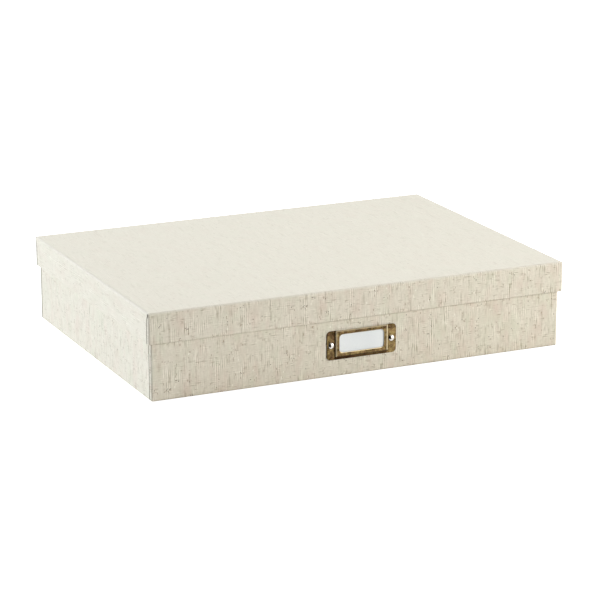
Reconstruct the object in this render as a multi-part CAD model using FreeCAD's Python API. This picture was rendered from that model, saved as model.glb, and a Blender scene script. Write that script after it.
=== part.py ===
import FreeCAD, Part
import math
import os

# A rigid document box for A3 sheets: a board base and a telescoping board lid, both covered in cloth,
# with a stamped brass label holder on the base's front. Sizes are in mm. The origin is under the
# box's centre, where it stands; +X runs along the front to the right, +Y to the back, +Z up.

# Closed box, outside
box_width = 435.0
box_depth = 310.0
box_height = 86.0
lid_skirt_height = 30.0

# Sheet stock
board_thickness = 1.75
cloth_thickness = 0.35
liner_thickness = 0.15
bottom_paper_thickness = 0.2
stay_thickness = 0.1

# Folds and covered edges
fold_radius = 1.9  # outside of the board, at its folds and corners
rim_radius = 0.8  # cloth over a cut edge of the board
corner_kerf = 0.25  # open joint between two walls of a folded blank

# Covering
base_turn_in = 15.0  # cloth inside the base's rim
lid_turn_in = 20.0  # cloth inside the lid's skirt
underside_turn = 15.0  # cloth under the base
corner_wrap = 3.7  # cloth of the front and back that comes round a corner and shows on the side
seam_gap = 0.6
seam_gap_at_fold = 0.15
seam_lean = 2.4  # how far a lid seam leans out to the corner, towards the fold at the top
seam_lean_height = 7.0
seam_end_below_top = 3.0
liner_setback = 5.0  # cloth that shows inside, between a rim and the liner
bottom_paper_setback = 3.0

# Corner stays
stay_leg = 18.0
stay_margin = 1.5

# Fits
lid_side_clearance = 0.5
lid_rest_gap = 0.1
card_side_clearance = 0.6
card_seat_gap = 0.3
rivet_hole_clearance = 0.05

# Label holder
brass_thickness = 0.6
holder_height = 28.5
holder_corner_radius = 4.0
holder_below_lid = 10.5  # from the lid's rim down to the holder's top
tab_width = 9.0  # at each side of the raised frame
holder_flange = 2.5  # flat strip under the raised frame
frame_width = 55.0
frame_rise = 1.8  # front of the raised frame, out from the wall
frame_corner_radius = 1.6
frame_border = 4.1  # from the frame's outside to the window
frame_edge_radius = 0.8
frame_root_radius = 0.3  # where the raised frame turns into the flat of the plate
window_radius = 3.5
window_edge_radius = 0.5
card_thickness = 0.35
card_drop = 0.5  # top of the card below the top of the holder

# Split rivets
rivet_inset = 4.25  # from the raised frame's side to a rivet's axis
rivet_head_diameter = 6.0
rivet_head_height = 1.6
rivet_head_lip = 0.3
rivet_shank_diameter = 2.6
prong_length = 5.0
prong_width = 2.0
prong_thickness = 0.5

# Working values
overrun = 5.0  # how far a cutting shape runs past what it cuts
touch = 0.001  # how near an edge is to a level to lie on it

# Layers of a wall, from the outside in
corner_radius = fold_radius + cloth_thickness
covered_edge = cloth_thickness + board_thickness + cloth_thickness
lined_wall = covered_edge + liner_thickness
overhang = lined_wall + lid_side_clearance
base_width = box_width - 2 * overhang
base_depth = box_depth - 2 * overhang

# Levels, from the table up
cloth_under = bottom_paper_thickness
base_board_bottom = cloth_under + cloth_thickness
base_floor = base_board_bottom + board_thickness
lid_rim = box_height - lid_skirt_height
lid_board_bottom = lid_rim + cloth_thickness
lid_board_top = box_height - cloth_thickness
lid_ceiling = lid_board_top - board_thickness
base_rim = lid_ceiling - liner_thickness - lid_rest_gap
base_board_top = base_rim - cloth_thickness
base_turn_in_end = base_rim - base_turn_in
lid_turn_in_end = lid_rim + lid_turn_in

# Places on the front
front_face = -base_depth / 2
inside_front = front_face + cloth_thickness + board_thickness + liner_thickness
holder_top = lid_rim - holder_below_lid
holder_bottom = holder_top - holder_height
holder_middle = holder_top - holder_height / 2
holder_width = frame_width + 2 * tab_width
frame_bottom = holder_bottom + holder_flange
tab_front = front_face - brass_thickness
rivet_reach = frame_width / 2 + rivet_inset
rivet_places = {"left": -rivet_reach, "right": rivet_reach}

corners = {
    "front_left": (-1, -1),
    "front_right": (1, -1),
    "back_left": (-1, 1),
    "back_right": (1, 1),
}


def vector(x, y, z):
    return FreeCAD.Vector(x, y, z)


def block(width, depth, low, high):
    """A box centred on the origin in plan, between two levels."""
    return Part.makeBox(width, depth, high - low, vector(-width / 2, -depth / 2, low))


def span(low, high):
    """A box between two opposite corners, given in either order on each axis."""
    start = [min(a, b) for a, b in zip(low, high)]
    size = [abs(a - b) for a, b in zip(low, high)]
    return Part.makeBox(size[0], size[1], size[2], vector(start[0], start[1], start[2]))


def level_edges(shape, level):
    """The edges that lie flat at a level."""
    found = []
    for edge in shape.Edges:
        bounds = edge.BoundBox
        if abs(bounds.ZMin - level) < touch and abs(bounds.ZMax - level) < touch:
            found.append(edge)
    return found


def upright_edges(shape):
    """The edges that run straight up."""
    found = []
    for edge in shape.Edges:
        bounds = edge.BoundBox
        if bounds.XLength < touch and bounds.YLength < touch:
            found.append(edge)
    return found


def rounded_block(width, depth, low, high, radius):
    """A box in plan with rounded upright corners."""
    shape = block(width, depth, low, high)
    return shape.makeFillet(radius, upright_edges(shape))


def folded_block(width, depth, low, high, corner, low_radius, high_radius):
    """A box with rounded upright corners whose level edges are rounded as folds are: each runs
    straight on to the corner and meets the next on a mitre. A radius of zero leaves a square edge."""
    shape = rounded_block(width, depth, low, high, corner)
    for along in ("XLength", "YLength"):
        slab = block(width, depth, low, high)
        for level, radius in ((low, low_radius), (high, high_radius)):
            if radius > 0:
                edges = [e for e in level_edges(slab, level) if getattr(e.BoundBox, along) > touch]
                slab = slab.makeFillet(radius, edges)
        shape = shape.common(slab)
    return shape


def tray_mouth(width, depth, bottom, rim, radius):
    """The space inside a covered tray, from its bottom out past its rim, where it widens over the
    roll of cloth along the rim. The rim may lie above the bottom or below it."""
    way = 1 if rim > bottom else -1
    bend = rim - way * radius
    outside = rim + way * overrun
    margin = 2 * (radius + overrun)

    def slab(across, along):
        over = block(across + 2 * radius, along, min(bend, outside), max(bend, outside))
        edge = across / 2 + radius
        rolls = [
            Part.makeCylinder(radius, along, vector(x, -along / 2, bend), vector(0, 1, 0))
            for x in (-edge, edge)
        ]
        return over.cut(rolls).fuse(block(across, along, min(bottom, bend), max(bottom, bend)))

    one_way = slab(width, depth + margin)
    other_way = slab(depth, width + margin)
    other_way.rotate(vector(0, 0, 0), vector(0, 0, 1), 90)
    return one_way.common(other_way)


def ring(width, depth, thickness, low, high):
    """A square-cornered band, thickness inwards from the given outside."""
    outside = block(width, depth, low, high)
    inside = block(width - 2 * thickness, depth - 2 * thickness, low - overrun, high + overrun)
    return outside.cut(inside)


def mirrored_to(shape, side_x, side_y):
    """A shape drawn at the right back corner, turned over to another corner."""
    if side_x < 0:
        shape = shape.mirror(vector(0, 0, 0), vector(1, 0, 0))
    if side_y < 0:
        shape = shape.mirror(vector(0, 0, 0), vector(0, 1, 0))
    return shape


def prism(points, direction):
    """A polygon pushed along a direction."""
    loop = Part.makePolygon(points + [points[0]])
    return Part.Face(loop).extrude(direction)


def corner_stays(width, depth, low, high):
    """Four L-shaped strips of tape pressed flush into the outside of a board tray's corners."""
    outside = rounded_block(width, depth, low, high, fold_radius)
    inside = rounded_block(
        width - 2 * stay_thickness,
        depth - 2 * stay_thickness,
        low - overrun,
        high + overrun,
        fold_radius - stay_thickness,
    )
    band = outside.cut(inside)
    stays = {}
    for name, (side_x, side_y) in corners.items():
        corner = vector(side_x * width / 2, side_y * depth / 2, low)
        reach = vector(corner.x - side_x * stay_leg, corner.y - side_y * stay_leg, high)
        stays[name] = band.common(span(corner, reach))
    return stays


def corner_kerfs(width, depth, low, high):
    """The open joints where a side wall's end meets the inside of the front or back wall."""
    cuts = []
    for side_x, side_y in corners.values():
        outer_x = side_x * (width / 2 + overrun)
        inner_x = side_x * (width / 2 - board_thickness - overrun)
        face_y = side_y * (depth / 2 - board_thickness)
        cuts.append(span((outer_x, face_y, low), (inner_x, face_y - side_y * corner_kerf, high)))
    return cuts


def corner_slit(width, depth, low, high, reach):
    """The gap between two cloth edges at the right back corner, seen in plan: straight in through the
    right face, just inside the corner, then on the mitre to the given reach."""
    middle = corner_wrap + seam_gap / 2
    half = seam_gap / 2
    shift = half * math.tan(math.pi / 8)
    step = half * math.sqrt(2)
    insets = [
        (-overrun, middle - half),
        (middle + shift, middle - half),
        (reach + step, reach),
        (reach, reach + step),
        (middle - shift, middle + half),
        (-overrun, middle + half),
    ]
    points = [vector(width / 2 - u, depth / 2 - v, low) for u, v in insets]
    return prism(points, vector(0, 0, high - low))


def leaning_slit(width, depth, high):
    """The top of a lid seam at the right back corner, where it leans out to the corner and narrows."""
    low = high - seam_lean_height
    radius = (seam_lean_height**2 + seam_lean**2) / (2 * seam_lean)
    half_angle = math.asin(seam_lean_height / radius) / 2
    bulge = radius * (1 - math.cos(half_angle))
    bulge_level = low + radius * math.sin(half_angle)
    start = width / 2 + overrun
    end = width / 2 - covered_edge / 2

    def place(inset, level):
        return vector(start, depth / 2 - inset, level)

    near = corner_wrap
    far = corner_wrap + seam_gap
    near_top = corner_wrap - seam_lean
    far_top = near_top + seam_gap_at_fold
    far_bulge = far - bulge - (seam_gap - seam_gap_at_fold) / 2
    near_side = Part.Arc(
        place(near, low), place(near - bulge, bulge_level), place(near_top, high)
    ).toShape()
    top = Part.makeLine(place(near_top, high), place(far_top, high))
    far_side = Part.Arc(
        place(far_top, high), place(far_bulge, bulge_level), place(far, low)
    ).toShape()
    bottom = Part.makeLine(place(far, low), place(near, low))
    face = Part.Face(Part.Wire([near_side, top, far_side, bottom]))
    return face.extrude(vector(end - start, 0, 0))


def wall_liner(width, depth, start, ledge, end):
    """A paper band on the inside of a tray's walls, which steps in over the turned-in cloth at the
    ledge and goes on to the end. It runs up in the base and down in the lid."""
    way = 1 if end > start else -1
    under_ledge = ledge - way * liner_thickness
    inner_width = width - 2 * cloth_thickness
    inner_depth = depth - 2 * cloth_thickness
    on_board = ring(width, depth, liner_thickness, min(start, ledge), max(start, ledge))
    step = ring(
        width,
        depth,
        cloth_thickness + liner_thickness,
        min(under_ledge, ledge),
        max(under_ledge, ledge),
    )
    on_cloth = ring(inner_width, inner_depth, liner_thickness, min(ledge, end), max(ledge, end))
    return on_board.fuse([step, on_cloth]).removeSplitter()


def rivet_holes():
    """The two holes for the rivets, right through the front wall and the holder's tabs."""
    radius = rivet_shank_diameter / 2 + rivet_hole_clearance
    start = tab_front - overrun
    length = inside_front + overrun - start
    holes = []
    for x in rivet_places.values():
        holes.append(Part.makeCylinder(radius, length, vector(x, start, holder_middle), vector(0, 1, 0)))
    return holes


def base_nodes():
    """The board tray, its corner stays, the four cloth panels, the liners and the bottom sheet."""
    nodes = {}
    board_width = base_width - 2 * cloth_thickness
    board_depth = base_depth - 2 * cloth_thickness
    inner_width = board_width - 2 * board_thickness
    inner_depth = board_depth - 2 * board_thickness

    tray = folded_block(
        board_width, board_depth, base_board_bottom, base_board_top, fold_radius, fold_radius, 0
    )
    stay_low = base_board_bottom + fold_radius + stay_margin
    stays = corner_stays(board_width, board_depth, stay_low, base_board_top - stay_margin)
    well = block(inner_width, inner_depth, base_floor, base_board_top + overrun)
    kerfs = corner_kerfs(board_width, board_depth, base_floor, base_board_top + overrun)
    nodes["base_board"] = tray.cut([well] + kerfs + list(stays.values()) + rivet_holes())
    for name, stay in stays.items():
        nodes["base_corner_stay_" + name] = stay

    cloth = folded_block(
        base_width, base_depth, cloth_under, base_rim, corner_radius, corner_radius, rim_radius
    )
    mouth = tray_mouth(
        base_width - 2 * covered_edge, base_depth - 2 * covered_edge, base_floor, base_rim, rim_radius
    )
    below_turn_in = block(inner_width, inner_depth, base_floor, base_turn_in_end)
    under = block(
        base_width - 2 * underside_turn,
        base_depth - 2 * underside_turn,
        cloth_under - overrun,
        base_board_bottom + touch,
    )
    slit = corner_slit(
        base_width, base_depth, cloth_under - overrun, base_rim + overrun, underside_turn + overrun
    )
    slits = [mirrored_to(slit, x, y) for x, y in corners.values()]
    cloth = cloth.cut([mouth, tray.cut(well), below_turn_in, under] + slits + rivet_holes())
    for panel in cloth.removeSplitter().Solids:
        middle = panel.CenterOfMass
        if abs(middle.x) > abs(middle.y):
            side = "right" if middle.x > 0 else "left"
        else:
            side = "back" if middle.y > 0 else "front"
        nodes["base_cover_" + side] = panel

    nodes["base_floor_liner"] = block(
        inner_width - 2 * liner_thickness,
        inner_depth - 2 * liner_thickness,
        base_floor,
        base_floor + liner_thickness,
    )
    band = wall_liner(
        inner_width, inner_depth, base_floor, base_turn_in_end, base_rim - liner_setback
    )
    nodes["base_wall_liner"] = band.cut(rivet_holes())
    nodes["base_bottom_sheet"] = bottom_sheet()
    return nodes


def bottom_sheet():
    """Paper under the base, flat over the turned-under cloth and pressed up against the board inside it."""
    hole_width = base_width - 2 * underside_turn
    hole_depth = base_depth - 2 * underside_turn
    pressed_up = base_board_bottom - bottom_paper_thickness
    border = block(
        base_width - 2 * bottom_paper_setback,
        base_depth - 2 * bottom_paper_setback,
        0,
        bottom_paper_thickness,
    )
    border = border.cut(block(hole_width, hole_depth, -overrun, overrun))
    riser = ring(hole_width, hole_depth, bottom_paper_thickness, 0, base_board_bottom)
    middle = block(hole_width, hole_depth, pressed_up, base_board_bottom)
    return border.fuse([riser, middle]).removeSplitter()


def lid_nodes():
    """The board lid, its corner stays, the one-piece cloth cover and the liners."""
    nodes = {}
    board_width = box_width - 2 * cloth_thickness
    board_depth = box_depth - 2 * cloth_thickness
    inner_width = board_width - 2 * board_thickness
    inner_depth = board_depth - 2 * board_thickness

    cap = folded_block(
        board_width, board_depth, lid_board_bottom, lid_board_top, fold_radius, 0, fold_radius
    )
    stay_high = lid_board_top - fold_radius - stay_margin
    stays = corner_stays(board_width, board_depth, lid_board_bottom + stay_margin, stay_high)
    well = block(inner_width, inner_depth, lid_board_bottom - overrun, lid_ceiling)
    kerfs = corner_kerfs(board_width, board_depth, lid_board_bottom - overrun, lid_ceiling)
    nodes["lid_board"] = cap.cut([well] + kerfs + list(stays.values()))
    for name, stay in stays.items():
        nodes["lid_corner_stay_" + name] = stay

    cloth = folded_block(
        box_width, box_depth, lid_rim, box_height, corner_radius, rim_radius, corner_radius
    )
    mouth = tray_mouth(
        box_width - 2 * covered_edge, box_depth - 2 * covered_edge, lid_ceiling, lid_rim, rim_radius
    )
    above_turn_in = block(inner_width, inner_depth, lid_turn_in_end, lid_ceiling)
    seam_top = box_height - seam_end_below_top
    lean_start = seam_top - seam_lean_height
    slit = corner_slit(box_width, box_depth, lid_rim - overrun, lean_start, covered_edge + overrun)
    slit = slit.fuse(leaning_slit(box_width, box_depth, seam_top))
    slits = [mirrored_to(slit, x, y) for x, y in corners.values()]
    nodes["lid_cover"] = cloth.cut([mouth, cap.cut(well), above_turn_in] + slits).removeSplitter()

    nodes["lid_top_liner"] = block(
        inner_width - 2 * liner_thickness,
        inner_depth - 2 * liner_thickness,
        lid_ceiling - liner_thickness,
        lid_ceiling,
    )
    nodes["lid_wall_liner"] = wall_liner(
        inner_width, inner_depth, lid_ceiling, lid_turn_in_end, lid_rim + liner_setback
    )
    return nodes


def plate(width, low, high, radius, back, front):
    """A flat piece with rounded corners, upright against the front and centred on it."""
    sheet = Part.makeBox(width, back - front, high - low, vector(-width / 2, front, low))
    rounded = []
    for edge in sheet.Edges:
        bounds = edge.BoundBox
        if bounds.XLength < touch and bounds.ZLength < touch:
            rounded.append(edge)
    return sheet.makeFillet(radius, rounded)


def edges_on_front(shape, level, low, high, half_width):
    """The edges of a face that looks forward at a level, within a height and a half width."""
    found = []
    for edge in shape.Edges:
        bounds = edge.BoundBox
        flat = abs(bounds.YMin - level) < touch and abs(bounds.YMax - level) < touch
        high_enough = bounds.ZMin > low - touch and bounds.ZMax < high + touch
        near_enough = max(abs(bounds.XMin), abs(bounds.XMax)) < half_width + touch
        if flat and high_enough and near_enough:
            found.append(edge)
    return found


def label_holder():
    """A brass plate with its middle pressed forward into a pocket that is open at the top, and a
    window through the pocket's front. The bars round the window are crowned."""
    frame_front = front_face - frame_rise
    pocket_front = frame_front + brass_thickness
    half_frame = frame_width / 2
    above = holder_top + overrun

    raised = plate(frame_width, frame_bottom, above, frame_corner_radius, front_face, frame_front)
    front_edges = edges_on_front(raised, frame_front, frame_bottom, above, half_frame)
    raised = raised.makeFillet(frame_edge_radius, front_edges)
    sheet = span((-holder_width, front_face, holder_bottom - overrun), (holder_width, tab_front, above))
    pressed = sheet.fuse(raised).removeSplitter()
    root = edges_on_front(pressed, tab_front, frame_bottom, above, half_frame)
    pressed = pressed.makeFillet(frame_root_radius, root)
    outline = plate(
        holder_width, holder_bottom, holder_top, holder_corner_radius, front_face, frame_front - overrun
    )
    holder = pressed.common(outline)
    pocket = plate(
        frame_width - 2 * brass_thickness,
        frame_bottom + brass_thickness,
        above,
        frame_corner_radius - brass_thickness,
        front_face + overrun,
        pocket_front,
    )
    window = plate(
        frame_width - 2 * frame_border,
        frame_bottom + frame_border,
        holder_top - frame_border,
        window_radius,
        front_face + overrun,
        frame_front - overrun,
    )
    holder = holder.cut([pocket, window] + rivet_holes())
    half_window = frame_width / 2 - frame_border
    window_edges = edges_on_front(
        holder, frame_front, frame_bottom + frame_border, holder_top - frame_border, half_window
    )
    return holder.makeFillet(window_edge_radius, window_edges)


def label_card():
    """A blank card in the holder's pocket, close behind the frame."""
    front = front_face - frame_rise + brass_thickness + card_seat_gap
    low = frame_bottom + brass_thickness + card_seat_gap
    width = frame_width - 2 * (brass_thickness + card_side_clearance)
    return span((-width / 2, front, low), (width / 2, front + card_thickness, holder_top - card_drop))


def label_rivet(x):
    """A domed head on the tab, a shank through the wall and two prongs spread up and down inside."""
    head_radius = rivet_head_diameter / 2
    crown = rivet_head_height - rivet_head_lip
    dome_radius = (head_radius**2 + crown**2) / (2 * crown)
    half_angle = math.asin(head_radius / dome_radius) / 2
    shoulder = tab_front - rivet_head_lip
    along = dome_radius * math.sin(half_angle)
    sag = dome_radius * (1 - math.cos(half_angle))
    peak = vector(0, tab_front - rivet_head_height, 0)
    bow = Part.Arc(
        peak, vector(along, peak.y + sag, 0), vector(head_radius, shoulder, 0)
    ).toShape()
    lip = Part.makeLine(vector(head_radius, shoulder, 0), vector(head_radius, tab_front, 0))
    back = Part.makeLine(vector(head_radius, tab_front, 0), vector(0, tab_front, 0))
    axis = Part.makeLine(vector(0, tab_front, 0), peak)
    profile = Part.Face(Part.Wire([bow, lip, back, axis]))
    head = profile.revolve(vector(0, 0, 0), vector(0, 1, 0), 360)
    end = inside_front + prong_thickness
    shank = Part.makeCylinder(
        rivet_shank_diameter / 2, end - tab_front, vector(0, tab_front, 0), vector(0, 1, 0)
    )
    prongs = span(
        (-prong_width / 2, inside_front, -prong_length), (prong_width / 2, end, prong_length)
    )
    tips = []
    for edge in prongs.Edges:
        bounds = edge.BoundBox
        if bounds.XLength < touch and bounds.ZLength < touch:
            tips.append(edge)
    prongs = prongs.makeFillet(prong_width / 3, tips)
    rivet = head.fuse([shank, prongs]).removeSplitter()
    return rivet.translated(vector(x, 0, holder_middle))


def build():
    nodes = base_nodes()
    nodes.update(lid_nodes())
    nodes["label_holder"] = label_holder()
    nodes["label_card"] = label_card()
    for side, x in rivet_places.items():
        nodes["label_rivet_" + side] = label_rivet(x)
    return nodes


os.makedirs("parts", exist_ok=True)
for node, shape in build().items():
    shape.exportStep("parts/" + node + ".step")
    print(node, len(shape.Solids), round(shape.Volume, 2), shape.isValid())
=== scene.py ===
import bmesh
import bpy
import math
from functools import partial
from mathutils import Matrix, Vector


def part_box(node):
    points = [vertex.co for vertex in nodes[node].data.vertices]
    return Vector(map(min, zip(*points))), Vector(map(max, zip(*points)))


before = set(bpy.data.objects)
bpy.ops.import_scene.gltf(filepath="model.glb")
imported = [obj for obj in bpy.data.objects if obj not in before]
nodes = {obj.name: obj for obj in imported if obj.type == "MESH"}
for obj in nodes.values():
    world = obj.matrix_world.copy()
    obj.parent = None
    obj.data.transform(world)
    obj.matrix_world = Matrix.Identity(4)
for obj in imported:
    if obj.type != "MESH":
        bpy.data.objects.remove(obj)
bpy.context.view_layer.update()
scene = bpy.context.scene
scene.view_settings.view_transform = "Standard"
toMillimetres = 1000
print("frame loaded:", len(nodes), "nodes")


# camera, from a fit to the box's edges in the photograph
shot = {
    "azimuth": -24.772,      # degrees, 0 looks along +Y
    "elevation": 15.982,     # degrees above the horizon
    "distance": 2.608,       # m from the point on the floor under the box's middle
    "aside": 0.0056,         # m that the camera stands to the right of that point
    "above": 0.0316,         # m that it stands above it, across the view
    "lens": 156.07,          # mm
    "sensor": 36,            # mm
    "clip": (0.05, 50),      # m
}


def placeCamera():
    turn, rise = math.radians(shot["azimuth"]), math.radians(shot["elevation"])
    back = Vector((math.sin(turn) * math.cos(rise), -math.cos(turn) * math.cos(rise), math.sin(rise)))
    right = Vector((math.cos(turn), math.sin(turn), 0))
    up = back.cross(right)
    lens = bpy.data.cameras.new("camera")
    lens.lens = shot["lens"]
    lens.sensor_width = shot["sensor"]
    lens.clip_start, lens.clip_end = shot["clip"]
    lens.dof.use_dof = False
    camera = bpy.data.objects.new("camera", lens)
    camera.location = back * shot["distance"] + right * shot["aside"] + up * shot["above"]
    camera.rotation_euler = Matrix((right, up, back)).transposed().to_euler()
    scene.collection.objects.link(camera)
    scene.camera = camera


placeCamera()
print("camera placed")


def hexColour(text):
    # sRGB hex to the linear colour that the nodes take
    parts = [int(text[i:i + 2], 16) / 255 for i in (0, 2, 4)]
    return tuple(p / 12.92 if p <= 0.04045 else ((p + 0.055) / 1.055) ** 2.4 for p in parts) + (1.0,)


def addNode(tree, kind, inputs=(), **settings):
    # adds a node with its settings; inputs go to the sockets in their order, or by name or number,
    # and one that is itself a socket is linked
    node = tree.nodes.new("ShaderNode" + kind)
    for name, value in settings.items():
        setattr(node, name, value)
    for key, value in inputs.items() if isinstance(inputs, dict) else enumerate(inputs):
        if isinstance(key, int):
            socket = node.inputs[key]
        else:
            socket = next(s for s in node.inputs if s.name == key and s.enabled)
        if isinstance(value, bpy.types.NodeSocket):
            tree.links.new(value, socket)
        else:
            socket.default_value = value
    return next((s for s in node.outputs if s.enabled), None)


def newMaterial(name):
    material = bpy.data.materials.new(name)
    material.use_nodes = True
    material.node_tree.nodes.clear()
    return material, partial(addNode, material.node_tree)


def placeInMillimetres(add):
    place = add("TexCoord").node.outputs["Object"]
    return add("VectorMath", {0: place, "Scale": toMillimetres}, operation="SCALE")


# linen book cloth, woven from natural flax with slubs and bits of husk, and glued to the board:
# it gives a dry pale beige, streaked along its threads, that pales to white where it is seen flat
linen = {
    "light": "e9e2d4",
    "dark": "a59a85",
    "pink": "c9a89c",
    "green": "c3cab0",
    "fleck": "856848",
    "husk": "4c3a28",
    "nep": "f6f2e6",
    # darker along the lower edge
    "lowerEdgeDark": "8d8371",
    "seam": "463b2d",                    # painted shade in the open joints on the sides
    "level": 0.66,                       # where the plain cloth lies between dark and light
    "top": 86.0,                         # mm, height of the box's top, where the cloth turns down
    "thread": 1.0,                       # mm from thread to thread; the real 0.5 is too fine to show
    "stitch": 2.0,                       # mm, how long a fleck shows before the thread dips under
    "wander": 0.5,                       # mm that a thread strays from its line
    "wanderScale": 0.03,                 # bends in a mm of thread
    "apart": 7.13,                       # from a thread to the next one in the noise of slubs
    "thick": (0.58, 0.70),               # of that noise, where a light thick place starts and is full
    "thin": (0.41, 0.29),                # and a dark thin one
    "patches": (0.42, 0.62, 0.25, 1.0),  # of the patches' noise, calm and busy, and the slubs' share there
    "paired": (0.50, 0.66),              # of it too, where threads start to pair, one light and one dark
    "unevenSeed": 1.3,
    "valley": 0.4,                       # share of a streak between two threads; on one it is 1 more
    "cloudSize": (7, 14),                # mm, across and along the warp
    "cloudShare": 0.20,
    "tintSize": (13, 30),                # mm, of the pinkish and greenish places
    "tinted": (0.48, 0.75),
    "pinkShare": 0.28,
    "greenShare": 0.26,
    "flat": (0.3, 0.9),                  # upward part of the normal, from a side to the top
    "topPaintedGlareCalm": 0.3,                      # how much of its streaks the top keeps, muted as painted glare
    "clusterScale": 0.14,                # clusters of flecks in a mm
    "clustered": (0.60, 0.72),
    "lowerEdgeDarkHeights": (1.2, 0.2),                # mm, height of the darker band along the lower edge, where it starts and is full
    "lowerEdgeDarkShare": 0.5,
    "seamInset": 4.0,                    # mm, from a joint's middle to the corner
    "seamHalf": (1.1, 0.45),             # mm from its middle, where its painted shade starts and is full
    "seamDust": 0.85,
    "seamLean": 2.4,                     # mm that a joint of the lid leans out to the corner at its top end
    "seamLeanHeights": (76.0, 83.0),     # mm
    "skin": (1.0, 0.5),                  # mm inside the outside, where the cloth's outer face starts
    "bump": 0.3,
    "relief": 0.0001,                    # m
    "roughness": 0.75,
    "specular": 0.1,
    "sheen": 0.5,
    "sheenRoughness": 0.4,
    "sheenTint": "fffbe8",
}
# the two runs of threads: the warp from front to back over the top and down the front, the weft across it
threadRuns = {
    "warp": {
        "length": 14.0,      # mm, of a thick or thin place
        "light": 0.24,       # share of light in a thick one
        "dark": 0.50,        # share of dark in a thin one
        "across": 9.0,       # mm, of the patches that have them
        "along": 18.0,
        "pairs": 0.34,       # how far two paired threads differ
        "uneven": 0.30,      # share of the fine unevenness
        "stretch": 4.0,      # mm, its length
        "seed": 3.7,
    },
    "weft": {
        "length": 7.0,
        "light": 0.10,
        "dark": 0.34,
        "across": 9.0,
        "along": 7.0,
        "pairs": 0.12,
        "uneven": 0.18,
        "stretch": 2.5,
        "seed": 8.1,
    },
}
# brown flecks, pale neps and bits of husk: on which thread, how strong, their share of all stitches,
# how much more in a cluster, and a seed
flaxMarks = (
    ("fleck", "warp", 0.60, 0.005, 0.20, 2.0),
    ("fleck", "weft", 0.40, 0.002, 0.08, 5.0),
    ("nep", "warp", 0.65, 0.001, 0.06, 7.0),
    ("husk", "crossing", 0.90, 0.0004, 0.05, 9.0),
)


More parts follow.
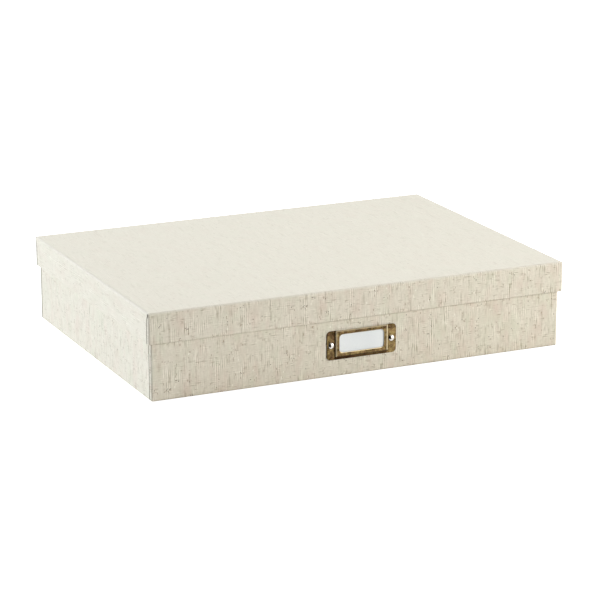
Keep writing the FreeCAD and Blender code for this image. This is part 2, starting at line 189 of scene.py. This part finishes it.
def makeLinen(name, shift, outside, turned=False, sides=1.0):
    # shift moves the pattern and outside is where the cloth ends, both x and y in mm; turned cloth has its
    # warp across, and sides is how much of its streaks it keeps on its left and right faces
    material, add = newMaterial(name)
    x, y, z = add("SeparateXYZ", [placeInMillimetres(add)]).node.outputs
    normal = add("NewGeometry").node.outputs["Normal"]
    normalX, normalY, normalZ = add("SeparateXYZ", [normal]).node.outputs
    fromMiddleX = add("Math", [x], operation="ABSOLUTE")
    fromMiddleY = add("Math", [y], operation="ABSOLUTE")

    # the sheet's own coordinates: the cloth of the top goes on down the sides
    onSide = add("Math", [add("Math", [normalX], operation="ABSOLUTE"),
                          add("Math", [normalY], operation="ABSOLUTE")], operation="GREATER_THAN")
    onFront = add("Math", [1.0, onSide], operation="SUBTRACT")
    drop = add("Math", [linen["top"], z], operation="SUBTRACT")
    dropX = add("Math", [add("Math", [x], operation="SIGN"), drop], operation="MULTIPLY")
    dropY = add("Math", [add("Math", [y], operation="SIGN"), drop], operation="MULTIPLY")
    movedX = add("Math", [x, shift[0]], operation="ADD")
    movedY = add("Math", [y, shift[1]], operation="ADD")
    across = add("Math", [dropX, onSide, movedX], operation="MULTIPLY_ADD")
    along = add("Math", [dropY, onFront, movedY], operation="MULTIPLY_ADD")
    if turned:
        across, along = along, across
    sheet = add("CombineXYZ", [across, along])
    stray = add("TexNoise", {"Vector": sheet, "Scale": linen["wanderScale"]}).node.outputs["Color"]
    strayAcross, strayAlong = add("SeparateColor", [stray]).node.outputs[:2]

    # every thread has its own light thick places and dark thin ones, in patches, and a fine unevenness
    threads = {}
    for run, position, length, stray in (("warp", across, along, strayAcross),
                                         ("weft", along, across, strayAlong)):
        slubs = threadRuns[run]
        moved = add("Math", [stray, linen["wander"] * 2, position], operation="MULTIPLY_ADD")
        count = add("Math", [moved, linen["thread"]], operation="DIVIDE")
        index = add("Math", [count], operation="FLOOR")
        own = add("Math", [index, linen["apart"]], operation="MULTIPLY")
        far = add("Math", [length, slubs["length"]], operation="DIVIDE")
        slubPlace = add("CombineXYZ", [own, far, slubs["seed"]])
        slub = add("TexNoise", {"Vector": slubPlace, "Scale": 1.0, "Detail": 1.0})
        patchPlace = add("VectorMath", [sheet, (1 / slubs["across"], 1 / slubs["along"], 0)],
                         operation="MULTIPLY")
        patch = add("TexNoise", {"Vector": patchPlace, "Scale": 1.0, "Detail": 1.0})
        busy = add("MapRange", [patch, *linen["patches"]])
        light = add("MapRange", [slub, *linen["thick"], 0.0, slubs["light"]])
        dark = add("MapRange", [slub, *linen["thin"], 0.0, slubs["dark"]])
        tone = add("Math", [add("Math", [light, dark], operation="SUBTRACT"), busy], operation="MULTIPLY")
        odd = add("Math", [index, 2.0], operation="FLOORED_MODULO")
        odd = add("Math", [odd, 0.5], operation="SUBTRACT")
        paired = add("MapRange", [patch, *linen["paired"], 0.0, slubs["pairs"]])
        tone = add("Math", [odd, paired, tone], operation="MULTIPLY_ADD")
        nearby = add("Math", [length, slubs["stretch"]], operation="DIVIDE")
        unevenPlace = add("CombineXYZ", [own, nearby, linen["unevenSeed"]])
        uneven = add("TexNoise", {"Vector": unevenPlace, "Scale": 1.0, "Detail": 2.0})
        uneven = add("Math", [uneven, 0.5], operation="SUBTRACT")
        tone = add("Math", [uneven, slubs["uneven"], tone], operation="MULTIPLY_ADD")
        back = add("Math", [add("Math", [count, math.pi], operation="MULTIPLY")], operation="SINE")
        back = add("Math", [back], operation="ABSOLUTE")
        strong = add("Math", [back, linen["valley"]], operation="ADD")
        tone = add("Math", [tone, strong], operation="MULTIPLY")
        threads[run] = {"index": index, "tone": tone, "back": back}
    warp, weft = threads["warp"], threads["weft"]
    total = add("Math", [warp["index"], weft["index"]], operation="ADD")
    warpOver = add("Math", [total, 2.0], operation="FLOORED_MODULO")
    warpOver = add("Math", [warpOver, 0.5], operation="GREATER_THAN")
    tone = add("Math", [warp["tone"], weft["tone"]], operation="ADD")
    cloudPlace = add("VectorMath", [sheet, (*(1 / size for size in linen["cloudSize"]), 0)],
                     operation="MULTIPLY")
    cloud = add("TexNoise", {"Vector": cloudPlace, "Scale": 1.0, "Roughness": 0.6})
    cloud = add("Math", [cloud, 0.5], operation="SUBTRACT")
    tone = add("Math", [cloud, linen["cloudShare"], tone], operation="MULTIPLY_ADD")
    # streaks, tints and marks muted on the top and, by sides, on left and right faces: a painted glare
    plain = add("MapRange", [normalZ, *linen["flat"], 1.0, linen["topPaintedGlareCalm"]])
    plain = add("Math", [plain, add("MapRange", [onSide, 0.0, 1.0, 1.0, sides])], operation="MULTIPLY")
    lightness = add("Math", [tone, plain, linen["level"]], operation="MULTIPLY_ADD")
    colour = add("Mix", {0: lightness, 6: hexColour(linen["dark"]), 7: hexColour(linen["light"])},
                 data_type="RGBA")

    # soft pinkish and greenish places, where the flax was less bleached
    tintPlace = add("VectorMath", [sheet, (*(1 / size for size in linen["tintSize"]), 0)],
                    operation="MULTIPLY")
    tint = add("TexNoise", {"Vector": tintPlace, "Scale": 1.0, "Roughness": 0.6}).node.outputs["Color"]
    for shade, amount in zip(("pink", "green"), add("SeparateColor", [tint]).node.outputs[:2]):
        amount = add("MapRange", [amount, *linen["tinted"], 0.0, linen[shade + "Share"]])
        amount = add("Math", [amount, plain], operation="MULTIPLY")
        colour = add("Mix", {0: amount, 6: colour, 7: hexColour(linen[shade])}, data_type="RGBA")

    # the marks lie in clusters, each a thread wide and a stitch long, or one crossing of threads
    cluster = add("TexNoise", {"Vector": sheet, "Scale": linen["clusterScale"], "Detail": 1.0})
    cluster = add("MapRange", [cluster, *linen["clustered"]])
    warpStitch = add("Math", [add("Math", [along, linen["stitch"]], operation="DIVIDE")], operation="FLOOR")
    weftStitch = add("Math", [add("Math", [across, linen["stitch"] * 2], operation="DIVIDE")],
                     operation="FLOOR")
    spots = {
        "warp": (warp["index"], warpStitch),
        "weft": (weftStitch, weft["index"]),
        "crossing": (warp["index"], weft["index"]),
    }
    for shade, run, strength, alone, clustered, seed in flaxMarks:
        back = weft["back"] if run == "weft" else warp["back"]
        spot = add("CombineXYZ", [*spots[run], seed])
        draw = add("TexWhiteNoise", {"Vector": spot}, noise_dimensions="3D")
        share = add("Math", [cluster, clustered, alone], operation="MULTIPLY_ADD")
        mark = add("Math", [draw, share], operation="LESS_THAN")
        mark = add("Math", [mark, back], operation="MULTIPLY")
        strong = add("Math", [plain, strength], operation="MULTIPLY")
        mark = add("Math", [mark, strong], operation="MULTIPLY")
        colour = add("Mix", {0: mark, 6: colour, 7: hexColour(linen[shade])}, data_type="RGBA")

    # darker along the lower edge, and painted shade in the open joints
    lowerEdgeDark = add("MapRange", [z, *linen["lowerEdgeDarkHeights"], 0.0, linen["lowerEdgeDarkShare"]])
    colour = add("Mix", {0: lowerEdgeDark, 6: colour, 7: hexColour(linen["lowerEdgeDark"])}, data_type="RGBA")
    # painted shade in the open joints; those of the lid lean out to the corner near its top
    lean = add("MapRange", [z, *linen["seamLeanHeights"]])
    lean = add("Math", [lean, 2.0], operation="POWER")
    lean = add("Math", [lean, linen["seamLean"]], operation="MULTIPLY")
    fromJoint = add("Math", [fromMiddleY, lean], operation="SUBTRACT")
    fromJoint = add("Math", [fromJoint, outside[1] - linen["seamInset"]], operation="SUBTRACT")
    fromJoint = add("Math", [fromJoint], operation="ABSOLUTE")
    joint = add("MapRange", [fromJoint, *linen["seamHalf"], 0.0, linen["seamDust"]])
    onOutside = add("MapRange", [fromMiddleX, *(outside[0] - depth for depth in linen["skin"])])
    joint = add("Math", [joint, onOutside], operation="MULTIPLY")
    colour = add("Mix", {0: joint, 6: colour, 7: hexColour(linen["seam"])}, data_type="RGBA")

    # the threads stand up as rows of small round backs, higher where they are thick
    height = add("Mix", {0: warpOver, 2: weft["back"], 3: warp["back"]})
    height = add("Math", [height, tone], operation="ADD")
    bump = add("Bump", {"Strength": linen["bump"], "Distance": linen["relief"], "Height": height})
    shader = add("BsdfPrincipled", {
        "Base Color": colour,
        "Roughness": linen["roughness"],
        "Normal": bump,
        "Specular IOR Level": linen["specular"],
        "Sheen Weight": linen["sheen"],
        "Sheen Roughness": linen["sheenRoughness"],
        "Sheen Tint": hexColour(linen["sheenTint"]),
    })
    add("OutputMaterial", [shader])
    return material


# plain papers and boards: pressed fibres, so a soft mottle and no shine
papers = {
    "liningPaper": {"colour": "e6e1d2", "mottle": "d6cfbc", "fibre": 1.2, "roughness": 0.85, "bump": 0.25},
    "bottomPaper": {"colour": "d9d2bd", "mottle": "c8bfa6", "fibre": 1.2, "roughness": 0.85, "bump": 0.25},
    "gummedKraftTape": {"colour": "ad8a5f", "mottle": "94714a", "fibre": 2.5, "roughness": 0.8, "bump": 0.3},
    "greyBoard": {"colour": "9f9a90", "mottle": "7f7a72", "fibre": 0.8, "roughness": 0.9, "bump": 0.5},
    "coverCard": {"colour": "e4e6e7", "mottle": "dadddf", "fibre": 0.5, "roughness": 0.55, "bump": 0.05},
}
pulp = {
    "clouds": 25,            # mm, of the even mottle under the fibres
    "mottled": (0.75, 1.3),  # of fibres and clouds together, where the mottle starts and is full
    "relief": 0.0001,        # m
}


def makePaper(name):
    look = papers[name]
    material, add = newMaterial(name)
    place = placeInMillimetres(add)
    fibres = add("TexNoise", {"Vector": place, "Scale": 1 / look["fibre"], "Detail": 4.0, "Roughness": 0.65})
    clouds = add("TexNoise", {"Vector": place, "Scale": 1 / pulp["clouds"], "Detail": 3.0})
    amount = add("MapRange", [add("Math", [fibres, clouds], operation="ADD"), *pulp["mottled"]])
    colour = add("Mix", {0: amount, 6: hexColour(look["colour"]), 7: hexColour(look["mottle"])},
                 data_type="RGBA")
    bump = add("Bump", {"Strength": look["bump"], "Distance": pulp["relief"], "Height": fibres})
    shader = add("BsdfPrincipled", {"Base Color": colour, "Roughness": look["roughness"], "Normal": bump})
    add("OutputMaterial", [shader])
    return material


# steel, brass plated, dipped dark and rubbed back: a dull brown gold, mottled olive and reddish, with
# painted shade over the patina in its corners and painted highlights on its rubbed edges
brass = {
    "patina": "42321d",
    "rubbed": "b59d68",
    "bright": "f2e2bc",
    "reddish": "7a5c44",
    "root": "2c1a09",
    "speckle": 0.7,               # mm
    "blotch": 3.5,                # mm
    "roughness": (0.52, 0.32),    # of the patina and of the rubbed brass
    "polished": 0.2,              # roughness of the rubbed edges
    "bump": 0.35,
    "relief": 0.0001,             # m
    "halfWidth": 27.5,            # mm, from the middle to the raised frame's side
    "plateHalf": 36.5,            # mm, from the middle to a tab's end
    "bottom": 19.5,               # mm, height of the raised frame's lower side
    "flank": (-152.95, -153.35),  # mm, y from the plate forward to the raised frame
    "rounding": (0.995, 0.9),     # forward part of the normal, from the face to a rounding
    "steep": (0.35, 0.6),         # and from a flank to a rounding
    "edge": (-1.7, -0.9),         # mm past its side, where the rubbed edge and painted highlight start and are full
    "edgeWearAndHighlight": (0.55, 1.0),      # at the left and right tab's end; more on the right is painted highlight
    "topEdge": (44.0, 44.7),      # mm, height of the top border, rubbed and given a painted highlight
    "topWearAndHighlight": 0.4,
    "underEdge": (-1.3, -0.7),    # mm below its lower side, where the painted shade on its lower rounding starts
    "underEnd": (-0.4, -1.4),     # mm past its side, where that painted shade ends
    "underDark": 0.8,
    "rootSide": (1.6, 0.6),       # mm past its side, where the painted shade at its foot starts and is full
    "rootBelow": (1.1, 0.5),      # mm below it
    "rootBelowEnd": (0.6, 0.0),   # mm past its side
    "rootBelowDark": 0.8,
    "leftPart": (0.3, 0.7),       # share of the width, over which the painted shade of the left side ends
    "tabEnd": (35.8, 36.2),       # mm from the middle, of the painted shade at a tab's end
    "tabEndDark": (1.0, 0.2),     # left and right
    "cutEdge": (0.85, 0.5),       # forward part of the normal, from the face to the sheet's cut edge
    "rootDark": 0.9,
    "frameRub": 0.12,             # how much more the raised frame is rubbed
    "rightRub": 0.15,             # and the plate's right end
    "dullTop": (40.5, 42.0),      # mm, height from which the whole holder is rubbed less
    "dullTopRub": 0.14,
    "rub": (0.90, 1.42),          # of the patterns' sum, from patina to rubbed brass
    "redPlaces": (0.45, 0.65),
    "redShare": 0.6,
    "shine": (0.65, 0.95),        # of the rubbed edges, left and right; more on the right is painted highlight
}


def makeBrass():
    material, add = newMaterial("antiqueBrass")
    place = placeInMillimetres(add)
    x, y, z = add("SeparateXYZ", [place]).node.outputs
    normal = add("NewGeometry").node.outputs["Normal"]
    facing = add("Math", [add("SeparateXYZ", [normal]).node.outputs[1]], operation="ABSOLUTE")
    onFrame = add("MapRange", [y, *brass["flank"]])
    offFrame = add("Math", [1.0, onFrame], operation="SUBTRACT")
    toRight = add("MapRange", [x, -brass["plateHalf"], brass["plateHalf"]])
    fromMiddle = add("Math", [x], operation="ABSOLUTE")
    beside = add("Math", [fromMiddle, brass["halfWidth"]], operation="SUBTRACT")
    below = add("Math", [brass["bottom"], z], operation="SUBTRACT")

    # rubbed bright where the raised frame rounds over and along its edges; the extra on the right and
    # on its top border is a painted highlight, and its lower rounding is left to painted shade
    turning = add("Math", [add("MapRange", [facing, *brass["rounding"]]),
                           add("MapRange", [facing, *brass["steep"]])], operation="MULTIPLY")
    border = add("Math", [add("MapRange", [beside, *brass["edge"]]),
                          add("MapRange", [toRight, 0.0, 1.0, *brass["edgeWearAndHighlight"]])], operation="MULTIPLY")
    topBorder = add("MapRange", [z, *brass["topEdge"], 0.0, brass["topWearAndHighlight"]])
    border = add("Math", [border, topBorder], operation="MAXIMUM")
    under = add("Math", [add("MapRange", [below, *brass["underEdge"]]),
                         add("MapRange", [beside, *brass["underEnd"]])], operation="MULTIPLY")
    edge = add("Math", [add("Math", [turning, border], operation="MAXIMUM"),
                        add("Math", [onFrame, under], operation="SUBTRACT", use_clamp=True)],
               operation="MULTIPLY")

    # painted shade under the frame, beside it on the left, along its foot, mostly at the left tab's end and
    # on the plate's cut edge, over the patina that gathers there
    onLeft = add("MapRange", [toRight, *brass["leftPart"], 1.0, 0.0])
    rootSide = add("MapRange", [beside, *brass["rootSide"]])
    rootSide = add("Math", [rootSide, onLeft], operation="MULTIPLY")
    rootBelow = add("Math", [add("MapRange", [below, *brass["rootBelow"], 0.0, brass["rootBelowDark"]]),
                             add("MapRange", [beside, *brass["rootBelowEnd"]])], operation="MULTIPLY")
    tabEndDark = add("MapRange", [toRight, *brass["leftPart"], *brass["tabEndDark"]])
    tabEnd = add("MapRange", [fromMiddle, *brass["tabEnd"]])
    tabEnd = add("Math", [tabEnd, tabEndDark], operation="MULTIPLY")
    cutEdge = add("MapRange", [facing, *brass["cutEdge"]])
    root = add("Math", [add("Math", [rootSide, rootBelow], operation="MAXIMUM"),
                        add("Math", [tabEnd, cutEdge], operation="MAXIMUM")], operation="MAXIMUM")
    root = add("Math", [add("Math", [root, offFrame], operation="MULTIPLY"),
                        add("Math", [under, brass["underDark"]], operation="MULTIPLY")], operation="MAXIMUM")
    root = add("Math", [root, brass["rootDark"]], operation="MULTIPLY")

    # a speckle on blotches decides where the patina is rubbed through
    speckle = add("TexNoise", {"Vector": place, "Scale": 1 / brass["speckle"], "Detail": 3.0,
                               "Roughness": 0.7})
    blotch = add("TexNoise", {"Vector": place, "Scale": 1 / brass["blotch"], "Detail": 2.0})
    blotchRub, blotchRed = add("SeparateColor", [blotch.node.outputs["Color"]]).node.outputs[:2]
    rub = add("Math", [speckle, blotchRub], operation="ADD")
    frameRub = add("Math", [onFrame, brass["frameRub"]], operation="MULTIPLY")
    rub = add("Math", [rub, frameRub], operation="ADD")
    plateRight = add("Math", [toRight, offFrame], operation="MULTIPLY")
    rub = add("Math", [plateRight, brass["rightRub"], rub], operation="MULTIPLY_ADD")
    dullTop = add("MapRange", [z, *brass["dullTop"], 0.0, brass["dullTopRub"]])
    rub = add("Math", [rub, dullTop], operation="SUBTRACT")
    rub = add("MapRange", [rub, *brass["rub"]])
    colour = add("Mix", {0: rub, 6: hexColour(brass["patina"]), 7: hexColour(brass["rubbed"])},
                 data_type="RGBA")
    reddish = add("MapRange", [blotchRed, *brass["redPlaces"], 0.0, brass["redShare"]])
    colour = add("Mix", {0: reddish, 6: colour, 7: hexColour(brass["reddish"])}, data_type="RGBA")
    colour = add("Mix", {0: root, 6: colour, 7: hexColour(brass["root"])}, data_type="RGBA")
    # rubbed edges with a painted highlight, strongest on the right
    shine = add("Math", [edge, add("MapRange", [toRight, 0.0, 1.0, *brass["shine"]])], operation="MULTIPLY")
    colour = add("Mix", {0: shine, 6: colour, 7: hexColour(brass["bright"])}, data_type="RGBA")
    roughness = add("MapRange", [rub, 0.0, 1.0, *brass["roughness"]])
    burnished = add("Math", [border, onFrame], operation="MULTIPLY")
    roughness = add("Mix", {0: burnished, 2: roughness, 3: brass["polished"]})
    bump = add("Bump", {"Strength": brass["bump"], "Distance": brass["relief"], "Height": speckle})
    shader = add("BsdfPrincipled", {
        "Base Color": colour,
        "Metallic": 1.0,
        "Roughness": roughness,
        "Normal": bump,
    })
    add("OutputMaterial", [shader])
    return material


# bright nickel plate on the rivets: nearly a mirror, with fine handling scratches
nickel = {
    "colour": "f4f0e8",
    "dull": "e6e0d6",
    "tarnishAndDarkReflection": "3a2c1c",          # tarnish round the head; on its left, a painted dark reflection
    "roughness": (0.09, 0.22),
    "scratch": 0.3,               # mm
    "scratched": (0.3, 0.7),      # of the scratches' noise, from smooth to rough
    "aside": 31.75,               # mm, from the holder's middle to a rivet's axis
    "height": 31.25,              # mm
    "ring": (2.5, 2.9),           # mm from the axis, where the dark ring starts and is full
    "ringShare": 0.8,
    "ringSide": (-1.5, 1.5),      # mm right of the axis, over which it ends
}


def makeNickel():
    material, add = newMaterial("brightNickel")
    place = placeInMillimetres(add)
    grain = add("TexNoise", {"Vector": place, "Scale": 1 / nickel["scratch"], "Detail": 3.0,
                             "Distortion": 1.5})
    roughness = add("MapRange", [grain, *nickel["scratched"], *nickel["roughness"]])
    colour = add("Mix", {0: grain, 6: hexColour(nickel["colour"]), 7: hexColour(nickel["dull"])},
                 data_type="RGBA")
    x, y, z = add("SeparateXYZ", [place]).node.outputs
    axis = add("Math", [add("Math", [x], operation="SIGN"), nickel["aside"]], operation="MULTIPLY")
    aside = add("Math", [x, axis], operation="SUBTRACT")
    above = add("Math", [z, nickel["height"]], operation="SUBTRACT")
    reach = add("VectorMath", [add("CombineXYZ", [aside, above])], operation="LENGTH").node.outputs["Value"]
    # a tarnish ring round the head, fading out to the right: on the left it is a painted dark reflection
    ring = add("MapRange", [reach, *nickel["ring"], 0.0, nickel["ringShare"]])
    ring = add("Math", [ring, add("MapRange", [aside, *nickel["ringSide"], 1.0, 0.0])], operation="MULTIPLY")
    colour = add("Mix", {0: ring, 6: colour, 7: hexColour(nickel["tarnishAndDarkReflection"])}, data_type="RGBA")
    shader = add("BsdfPrincipled", {"Base Color": colour, "Metallic": 1.0, "Roughness": roughness})
    add("OutputMaterial", [shader])
    return material


def dress(names, material):
    for name in names:
        for slot in nodes[name].material_slots:
            slot.material = material


corners = ("front_left", "front_right", "back_left", "back_right")
stays = [half + "_corner_stay_" + corner for half in ("base", "lid") for corner in corners]
lidOutside = [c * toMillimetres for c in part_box("lid_cover")[1][:2]]
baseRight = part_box("base_cover_right")[1][0]
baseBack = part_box("base_cover_back")[1][1]
baseOutside = [c * toMillimetres for c in (baseRight, baseBack)]
lidLinen = makeLinen("linenClothOfLid", (0.0, 0.0), lidOutside, sides=0.5)
panelLinen = makeLinen("linenClothOfPanels", (137.0, 61.0), baseOutside)
sideLinen = makeLinen("linenClothOfSides", (53.0, 211.0), baseOutside, turned=True, sides=0.8)
dress(["lid_cover"], lidLinen)
dress(["base_cover_front", "base_cover_back"], panelLinen)
dress(["base_cover_left", "base_cover_right"], sideLinen)
dress(["base_board", "lid_board"], makePaper("greyBoard"))
dress(stays, makePaper("gummedKraftTape"))
dress(["base_floor_liner", "base_wall_liner", "lid_top_liner", "lid_wall_liner"], makePaper("liningPaper"))
dress(["base_bottom_sheet"], makePaper("bottomPaper"))
dress(["label_card"], makePaper("coverCard"))
dress(["label_holder"], makeBrass())
dress(["label_rivet_left", "label_rivet_right"], makeNickel())
print("materials made")


# studio: a white floor, a big window light behind on the left, a softbox in front on the right and a
# weak lamp overhead
studio = {
    "ambient": 0.25,
    "floorSize": 12.0,       # m
    "floorColour": "e8e7e3",
    "floorWhite": 0.9,       # the floor's paper as the camera sees it
    "glow": 0.72,            # the part of the floor's white that shadows leave
    "aim": (0, 0, 0.04),     # m, where the lamps point
    "windowPower": 117.6,    # W
    "windowPlace": (-2.8, 1.2, 1.1),
    "windowSize": (2.2, 1.6),
    "windowColour": "ecf5ff",
    "softboxPower": 35.5,
    "softboxPlace": (1.4, -1.45, 0.72),
    "softboxSize": (1.2, 0.8),
    "softboxColour": "fffffa",
    "overheadPower": 18.9,
    "overheadPlace": (0.0, 0.2, 2.2),
    "overheadSize": (1.6, 1.2),
    "overheadColour": "eaf0ff",
    "flagPlace": (-1.1, -0.75, 0.55),
    "flagSize": (1.5, 1.1),
    "flagColour": "141414",
    "roomPlace": (-1.4, -1.7, 0.2),
    "roomSize": (3.0, 4.0),
    "roomColour": "3a2c20",
}


def addLamp(name, power, place, size, colour):
    lamp = bpy.data.lights.new(name, "AREA")
    lamp.shape = "RECTANGLE"
    lamp.size, lamp.size_y = size
    lamp.energy = power
    lamp.color = hexColour(colour)[:3]
    holder = bpy.data.objects.new(name, lamp)
    holder.location = place
    holder.rotation_euler = (Vector(place) - Vector(studio["aim"])).to_track_quat("Z", "Y").to_euler()
    scene.collection.objects.link(holder)


def makeWorld():
    # a plain grey light, but white as the camera, glossy and clear surfaces see it
    world = bpy.data.worlds.new("studio")
    world.use_nodes = True
    world.node_tree.nodes.clear()
    add = partial(addNode, world.node_tree)
    rays = add("LightPath").node.outputs
    seen = add("Math", [rays["Is Camera Ray"], rays["Is Glossy Ray"]], operation="MAXIMUM")
    seen = add("Math", [seen, rays["Is Transmission Ray"]], operation="MAXIMUM")
    strength = add("MapRange", [seen, 0.0, 1.0, studio["ambient"], 1.0])
    add("OutputWorld", [add("Background", [(1, 1, 1, 1), strength])])
    scene.world = world


def makeBoard(name, size, place, material):
    # a flat board of the studio, its place in its mesh
    shape = bmesh.new()
    bmesh.ops.create_grid(shape, x_segments=1, y_segments=1, size=0.5)
    bmesh.ops.transform(shape, matrix=place @ Matrix.Diagonal((size[0], size[1], 1, 1)), verts=shape.verts)
    mesh = bpy.data.meshes.new(name)
    shape.to_mesh(mesh)
    shape.free()
    mesh.materials.append(material)
    board = bpy.data.objects.new(name, mesh)
    scene.collection.objects.link(board)
    return board


def makeFloor():
    # white paper: the camera sees it white but for the object's shadow, the object a plain pale grey
    material, add = newMaterial("whitePaperSweep")
    seen = add("LightPath").node.outputs["Is Camera Ray"]
    paper = add("BsdfDiffuse", [hexColour(studio["floorColour"])])
    white = (studio["floorWhite"],) * 3 + (1,)
    bright = add("AddShader", [add("BsdfDiffuse", [white]), add("Emission", [(1, 1, 1, 1), studio["glow"]])])
    add("OutputMaterial", [add("MixShader", [seen, paper, bright])])
    floor = makeBoard("floor", (studio["floorSize"], studio["floorSize"]), Matrix.Identity(4), material)
    floor.visible_glossy = False         # the metal shows the world's white instead, and the dark room


def makeFlag():
    # a black card on the left, out of the camera's sight, darkens that end of the front and edges the metal
    material, add = newMaterial("blackCard")
    add("OutputMaterial", [add("BsdfDiffuse", [hexColour(studio["flagColour"])])])
    place = Vector(studio["flagPlace"])
    turn = math.atan2(place.x, -place.y)
    stand = Matrix.Translation(place) @ Matrix.Rotation(turn, 4, "Z") @ Matrix.Rotation(math.pi / 2, 4, "X")
    flag = makeBoard("flag", studio["flagSize"], stand, material)
    flag.visible_camera = False


def makeRoom():
    # the brown dark of the room behind the camera, which only the metal shows
    material, add = newMaterial("darkWall")
    add("OutputMaterial", [add("BsdfDiffuse", [hexColour(studio["roomColour"])])])
    stand = Matrix.Translation(studio["roomPlace"]) @ Matrix.Rotation(math.pi / 2, 4, "X")
    room = makeBoard("darkRoom", studio["roomSize"], stand, material)
    room.visible_camera = False
    room.visible_diffuse = False
    room.visible_shadow = False


makeWorld()
makeFloor()
makeFlag()
makeRoom()
for lamp in ("window", "softbox", "overhead"):
    addLamp(lamp, *[studio[lamp + setting] for setting in ("Power", "Place", "Size", "Colour")])
print("studio set")
